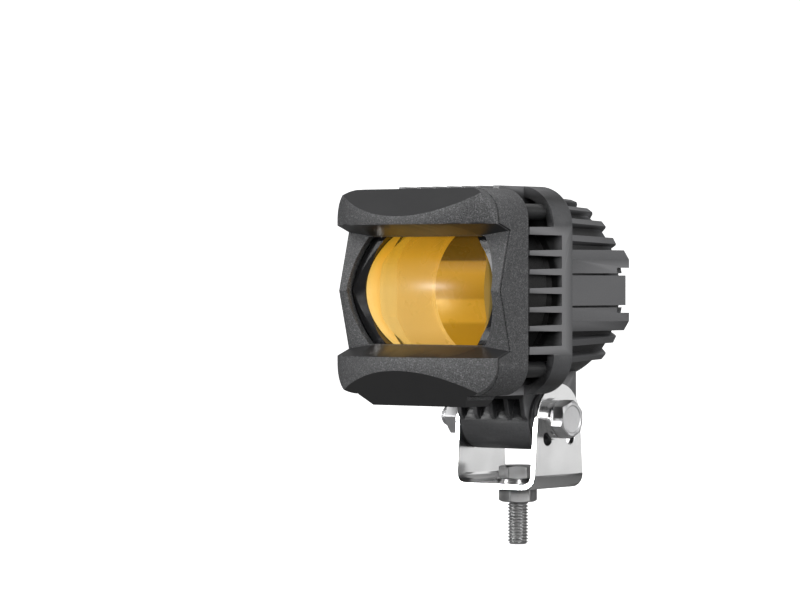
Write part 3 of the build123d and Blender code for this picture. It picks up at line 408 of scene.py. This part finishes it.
def plated_steel(name="plated_steel", dark=0.58, light=0.78, stud=0.68):
    """Turned or forged steel with a thin plating, darker below a height on the mounting stud."""
    paint = Paint(name, (light, light, light), 0.28, 1.0)
    smear = paint.noise(3 * MM, 4.0)
    bright = paint.mix(smear, (dark, dark, dark * 1.01), (light, light, light * 1.01))
    low_tone = paint.mix(smear, (dark * stud,) * 3, (light * stud,) * 3)
    place = paint.node("ShaderNodeSeparateXYZ", {"Vector": paint.coords()})
    low = paint.remap(place.outputs["Z"], *LOW_TONE_Z, 1, 0)
    paint.set(Base_Color=paint.mix(low, bright, low_tone))
    paint.set(Roughness=paint.remap(smear, 0.3, 0.7, 0.31, 0.38))
    paint.bump(paint.noise(0.4 * MM, 2.0), 0.015 * MM, 0.5)
    return paint.mat


def matt(name, dark, light, roughness, grain=0.8, depth=0.04):
    """Moulded or coated matt surface in two close tones."""
    paint = Paint(name, light, roughness)
    tone = paint.noise(grain * 4 * MM, 3.0)
    paint.set(Base_Color=paint.mix(tone, dark, light))
    paint.set(Roughness=paint.remap(tone, 0.3, 0.7, roughness - 0.06, roughness + 0.06))
    paint.bump(paint.noise(grain * MM, 2.0), depth * MM, 0.5)
    return paint.mat


MATERIALS = {
    "textured_black": textured_black(),
    "housing_black": housing_black(),
    "gloss_black": gloss_black(),
    "amber_lens": amber_lens(),
    "mirror_coat": amber_mirror(),
    "bright_stainless": stainless(),
    "zinc_steel": plated_steel(),
    "plain_steel": plated_steel("plain_steel", 0.5, 0.66, 1.0),
    "black_steel": matt("black_steel", (0.02, 0.02, 0.021), (0.04, 0.04, 0.042), 0.38),
    "black_nylon": matt("black_nylon", (0.014, 0.014, 0.015), (0.026, 0.026, 0.028), 0.5),
    "seal_rubber": matt("seal_rubber", (0.012, 0.012, 0.012), (0.022, 0.022, 0.022), 0.75),
    "board_white": matt("board_white", (0.74, 0.75, 0.74), (0.82, 0.83, 0.82), 0.4, 0.5, 0.01),
    "board_green": matt("board_green", (0.01, 0.10, 0.04), (0.02, 0.14, 0.06), 0.4, 0.5, 0.01),
    "phosphor": matt("phosphor", (0.80, 0.66, 0.10), (0.88, 0.76, 0.16), 0.5, 0.3, 0.01),
    "pad_grey": matt("pad_grey", (0.36, 0.38, 0.40), (0.42, 0.44, 0.47), 0.7),
    "black_parts": matt("black_parts", (0.02, 0.02, 0.02), (0.04, 0.04, 0.04), 0.45),
}
SLOT_OF = {part["node"]: part["material_slot"] for part in frame["record"]["subparts"]}


def dress_cad_nodes():
    """Every CAD node gets its slot's material."""
    for name, node in frame["nodes"].items():
        for material_slot in node.material_slots:
            material_slot.material = MATERIALS[SLOT_OF[name]]


EDGE_RADIUS = {
    "front_fascia": 0.45,
    "bezel_frame": 0.4,
    "cage_ring": 0.35,
    "heat_sink": 0.35,
    "pivot_foot": 0.35,
    "bracket": 0.3,
    "rear_cover": 0.3,
}
WELD_DISTANCE = 0.002 * MM
FLAT_ANGLE = math.radians(0.6)
SHARP_ANGLE = math.radians(32)


def soften_edges():
    """Small rounds on the edges of the castings and the bracket, radius in millimetres."""
    for name, radius in EDGE_RADIUS.items():
        node = frame["nodes"][name]
        weld = node.modifiers.new("weld", "WELD")
        weld.merge_threshold = WELD_DISTANCE
        flat = node.modifiers.new("flat", "DECIMATE")
        flat.decimate_type = "DISSOLVE"
        flat.angle_limit = FLAT_ANGLE
        bevel = node.modifiers.new("round", "BEVEL")
        bevel.width = radius * MM
        bevel.segments = 2
        bevel.limit_method = "ANGLE"
        bevel.angle_limit = SHARP_ANGLE
        bevel.harden_normals = True
        bevel.use_clamp_overlap = True


# ---- machined pieces --------------------------------------------------------------------
def make_object(name, vertices, faces, slot, body, node):
    mesh = bpy.data.meshes.new(name)
    mesh.from_pydata([tuple(v) for v in vertices], [], faces)
    mesh.validate()
    made = bpy.data.objects.new(name, mesh)
    bpy.context.scene.collection.objects.link(made)
    mesh.materials.append(MATERIALS[slot])
    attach(made, body)
    if node:
        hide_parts(node)
    return made


def shade(made, angle=35):
    """Smooth shading except at edges sharper than the angle."""
    made.data.shade_smooth()
    made.data.set_sharp_from_angle(angle=math.radians(angle))
    return made


def turned(loops, steps, cap_end=True, closed=False):
    """Vertices and faces of loops round local Z; a loop gives (radius, height) at an angle."""
    vertices = []
    faces = []
    for loop in loops:
        for step in range(steps):
            angle = TAU * step / steps
            radius, height = loop(angle)
            vertices.append(Vector((radius * math.cos(angle), radius * math.sin(angle), height)))
    rows = len(loops)
    for row in range(rows if closed else rows - 1):
        lower = row * steps
        upper = (row + 1) % rows * steps
        for step in range(steps):
            after = (step + 1) % steps
            faces.append((lower + step, lower + after, upper + after, upper + step))
    if not closed:
        faces.append(tuple(reversed(range(steps))))
    if not closed and cap_end:
        faces.append(tuple(range((rows - 1) * steps, rows * steps)))
    return vertices, faces


def level_loop(radius, height):
    return lambda angle: (radius, height)


def hex_radius(angle, turn):
    """Distance to a hexagon's side in the given direction."""
    local = (angle - turn) % (TAU / 6) - TAU / 12
    return min(HEX_AF / 2 / math.cos(local), HEX_CORNER_R)


def hex_loop(turn, base, chamfer):
    """Hexagon edge; chamfer +1 or -1 lowers or raises its corners as a turned cone does."""
    circle = HEX_AF / 2 * RIM_SHARE
    return lambda angle: (
        hex_radius(angle, turn),
        base - chamfer * (hex_radius(angle, turn) - circle) * HEX_CHAMFER,
    )


def thread_loops(start, end, tip_chamfer):
    """Screw thread as a wavy cylinder from start up to end, with a chamfered start."""
    def loop(height):
        def point(angle):
            phase = ((height - start) / THREAD_PITCH - angle / TAU) % 1.0
            wave = min(1.0, max(0.0, abs(2 * phase - 1) * FLANK_SLOPE - CREST_FLAT))
            radius = M8_R - THREAD_RELIEF - THREAD_DEPTH * wave
            limit = M8_R - tip_chamfer + (height - start)
            return (min(radius, limit), height)
        return point

    count = int((end - start) / THREAD_PITCH * THREAD_ROWS)
    return [loop(start + (end - start) * i / count) for i in range(count + 1)]


def placed(vertices, matrix):
    return [matrix @ v for v in vertices]


HEX_STEPS = 120


def nut(name, low, high, turn, matrix, body, node):
    """Hex nut with turned chamfers and a chamfered plain bore."""
    bore = M8_R + BORE_CLEARANCE
    rim = HEX_AF / 2 * RIM_SHARE
    loops = [
        level_loop(bore, low + BORE_CHAMFER_DEPTH),
        level_loop(bore + BORE_CHAMFER, low),
        level_loop(rim, low),
        hex_loop(turn, low, -1),
        hex_loop(turn, high, 1),
        level_loop(rim, high),
        level_loop(bore + BORE_CHAMFER, high),
        level_loop(bore, high - BORE_CHAMFER_DEPTH),
    ]
    vertices, faces = turned(loops, HEX_STEPS, closed=True)
    return shade(make_object(name, placed(vertices, matrix), faces, "zinc_steel", body, node), 20)


def bolt(name, tip, shank_top, head_top, threaded_to, turn, matrix, body, node):
    """Hex bolt: threaded end, plain shank, chamfered head with a shallow dish."""
    rim = HEX_AF / 2 * HEAD_RIM_SHARE
    loops = thread_loops(tip, threaded_to, TIP_CHAMFER)
    shank = M8_R - SHANK_RELIEF
    loops += [
        level_loop(shank, threaded_to + THREAD_RUNOUT),
        level_loop(shank, shank_top),
        level_loop(rim, shank_top),
        hex_loop(turn, shank_top + UNDERHEAD_RISE, UNDERHEAD_CHAMFER),
        hex_loop(turn, head_top, 1),
        level_loop(rim, head_top),
    ]
    loops += [level_loop(rim * share, head_top - depth) for share, depth in HEAD_DISH]
    vertices, faces = turned(loops, HEX_STEPS)
    return shade(make_object(name, placed(vertices, matrix), faces, "zinc_steel", body, node), 25)


def stud_hardware():
    upright = Matrix.Identity(4)
    tip, top = STUD_LOW.z, STUD_HIGH.z
    head_low = top - STUD_HEAD_HEIGHT
    bolt("stud_bolt_threaded", tip, head_low, top, 0.0, STUD_HEAD_TURN, upright, "stud", "stud_bolt")
    low, high = (corner[2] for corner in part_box("stud_nut"))
    nut("stud_nut_chamfered", low, high, STUD_NUT_TURN, upright, "stud", "stud_nut")


def pivot_hardware():
    """Local Z of the bolt runs along +X through the pivot."""
    along = Matrix.Translation(PIVOT) @ Matrix(((0, 0, 1, 0), (1, 0, 0, 0), (0, 1, 0, 0), (0, 0, 0, 1)))
    low, high = (corner[0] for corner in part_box("pivot_bolt"))
    head_low = high - PIVOT_HEAD_HEIGHT
    thread_end = low + PIVOT_THREAD
    turn = PIVOT_HEAD_TURN
    bolt("pivot_bolt_threaded", low, head_low, high, thread_end, turn, along, "bracket", "pivot_bolt")
    nut_low, nut_high = (corner[0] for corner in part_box("pivot_nut"))
    nut("pivot_nut_chamfered", nut_low, nut_high, 0.0, along, "bracket", "pivot_nut")


def optic_sleeve():
    """Mirrored ring that carries the reflector's bore forward to the lens."""
    front = LENS_HIGH.y + SLEEVE_LAP
    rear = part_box("reflector")[0][1] - SLEEVE_GAP
    inner = SLEEVE_INNER_R
    outer = SLEEVE_OUTER_R
    section = ((inner, front), (outer, front), (outer, rear), (inner, rear))
    loops = [level_loop(radius, depth) for radius, depth in section]
    vertices, faces = turned(loops, HEX_STEPS, closed=True)
    swap = Matrix(((1, 0, 0, 0), (0, 0, 1, 0), (0, 1, 0, 0), (0, 0, 0, 1)))
    along = Matrix.Translation((0, 0, AXIS_Z)) @ swap
    faces = [tuple(reversed(face)) for face in faces]
    shade(make_object("optic_sleeve", placed(vertices, along), faces, "mirror_coat", "lamp", None))


# ---- stage, light and camera -------------------------------------------------------------
STAGE_MIDDLE_R = 0.05
STAGE_R = 3.0
STAGE_BEND = 0.6
STAGE_HEIGHT = 3.0
BEND_STEPS = 12


def backdrop():
    """Pale round floor that curves up into a wall on every side."""
    section = [(STAGE_MIDDLE_R, 0.0), (STAGE_R - STAGE_BEND, 0.0)]
    for i in range(1, BEND_STEPS + 1):
        angle = math.pi / 2 * i / BEND_STEPS
        radius = STAGE_R - STAGE_BEND + STAGE_BEND * math.sin(angle)
        section.append((radius, STAGE_BEND - STAGE_BEND * math.cos(angle)))
    section.append((STAGE_R, STAGE_HEIGHT))
    loops = [level_loop(radius, height) for radius, height in section]
    vertices, faces = turned(loops, HEX_STEPS, cap_end=False)
    faces = [tuple(reversed(face)) for face in faces]
    mesh = bpy.data.meshes.new("backdrop")
    mesh.from_pydata([tuple(v) for v in vertices], [], faces)
    mesh.shade_smooth()
    sweep = bpy.data.objects.new("backdrop", mesh)
    bpy.context.scene.collection.objects.link(sweep)
    sweep.location.z = FLOOR_Z
    paint = Paint("backdrop", (0.86, 0.86, 0.86), 0.9)
    paint.set(Emission_Color=(1.0, 1.0, 1.0, 1.0), Emission_Strength=0.85)
    paint.set(Base_Color=paint.mix(paint.noise(0.4), (0.85, 0.85, 0.85), (0.87, 0.87, 0.87)))
    mesh.materials.append(paint.mat)
    sweep.visible_diffuse = False
    sweep.visible_glossy = False


def area_light(name, place, target, width, height, power):
    light = bpy.data.lights.new(name, "AREA")
    light.shape = "RECTANGLE"
    light.size = width
    light.size_y = height
    light.energy = power
    made = bpy.data.objects.new(name, light)
    made.location = place
    made.rotation_euler = (Vector(target) - Vector(place)).to_track_quat("-Z", "Y").to_euler()
    made.visible_camera = False
    bpy.context.scene.collection.objects.link(made)


# brightness of the surroundings from straight down (0) to straight up (1)
SKY = ((0.0, 0.62), (0.40, 0.42), (0.49, 0.10), (0.55, 0.16), (0.66, 0.55), (0.80, 1.0))
SKY_STRENGTH = 0.42
MIDDLE = (0, -0.02, 0.07)

# name, place, target, width, height and power
LIGHTS = (
    ("key_softbox", (-0.5, -1.2, 1.0), MIDDLE, 1.0, 0.8, 11),
    ("side_softbox", (1.5, -0.3, 0.5), MIDDLE, 0.8, 0.7, 11),
    ("top_softbox", (0.1, 0.3, 1.5), MIDDLE, 1.4, 1.0, 9),
    ("front_softbox", (1.00, -1.00, 0.42), (0, -0.05, 0.08), 0.5, 0.5, 6),
    ("leg_panel", (1.15, 1.30, 0.25), (0.02, 0, 0.03), 1.1, 0.8, 3.1),
    ("lens_spot", (-0.706, -1.03, 0.17), (0, -0.06, 0.083), 0.22, 0.06, 6.5),
)


def surroundings():
    """Soft surroundings whose brightness changes with height."""
    world = bpy.data.worlds.new("studio")
    world.use_nodes = True
    tree = world.node_tree
    background = tree.nodes["Background"]
    place = tree.nodes.new("ShaderNodeTexCoord")
    split = tree.nodes.new("ShaderNodeSeparateXYZ")
    half = tree.nodes.new("ShaderNodeMapRange")
    half.inputs["From Min"].default_value = -1.0
    ramp = tree.nodes.new("ShaderNodeValToRGB")
    tree.links.new(place.outputs["Generated"], split.inputs["Vector"])
    tree.links.new(split.outputs["Z"], half.inputs["Value"])
    tree.links.new(half.outputs["Result"], ramp.inputs["Fac"])
    tree.links.new(ramp.outputs["Color"], background.inputs["Color"])
    fill_ramp(ramp, [(at, (level, level, level)) for at, level in SKY])
    background.inputs["Strength"].default_value = SKY_STRENGTH
    bpy.context.scene.world = world


CAMERA_AZIMUTH = 36.0
CAMERA_DISTANCE = 1.351
CAMERA_HEIGHT = 0.0866
CAMERA_LENS_MM = 157.5
CAMERA_SENSOR_MM = 36.0
YAW = math.radians(1.931)
PITCH = math.radians(0.3765)


def camera():
    azimuth = math.radians(CAMERA_AZIMUTH)
    sight = Vector((-math.sin(azimuth), math.cos(azimuth), 0))
    right = Vector((math.cos(azimuth), math.sin(azimuth), 0))
    lens = bpy.data.cameras.new("camera")
    lens.sensor_width = CAMERA_SENSOR_MM
    lens.lens = CAMERA_LENS_MM
    lens.clip_end = 20
    made = bpy.data.objects.new("camera", lens)
    made.location = -sight * CAMERA_DISTANCE + Vector((0, 0, CAMERA_HEIGHT))
    aim = sight * math.cos(YAW) - right * math.sin(YAW) - Vector((0, 0, math.tan(PITCH)))
    made.rotation_euler = aim.to_track_quat("-Z", "Y").to_euler()
    bpy.context.scene.collection.objects.link(made)
    bpy.context.scene.camera = made


bpy.context.scene.view_settings.view_transform = "Standard"
dress_cad_nodes()
soften_edges()
stud_hardware()
pivot_hardware()
optic_sleeve()
backdrop()
for light in LIGHTS:
    area_light(*light)
surroundings()
camera()
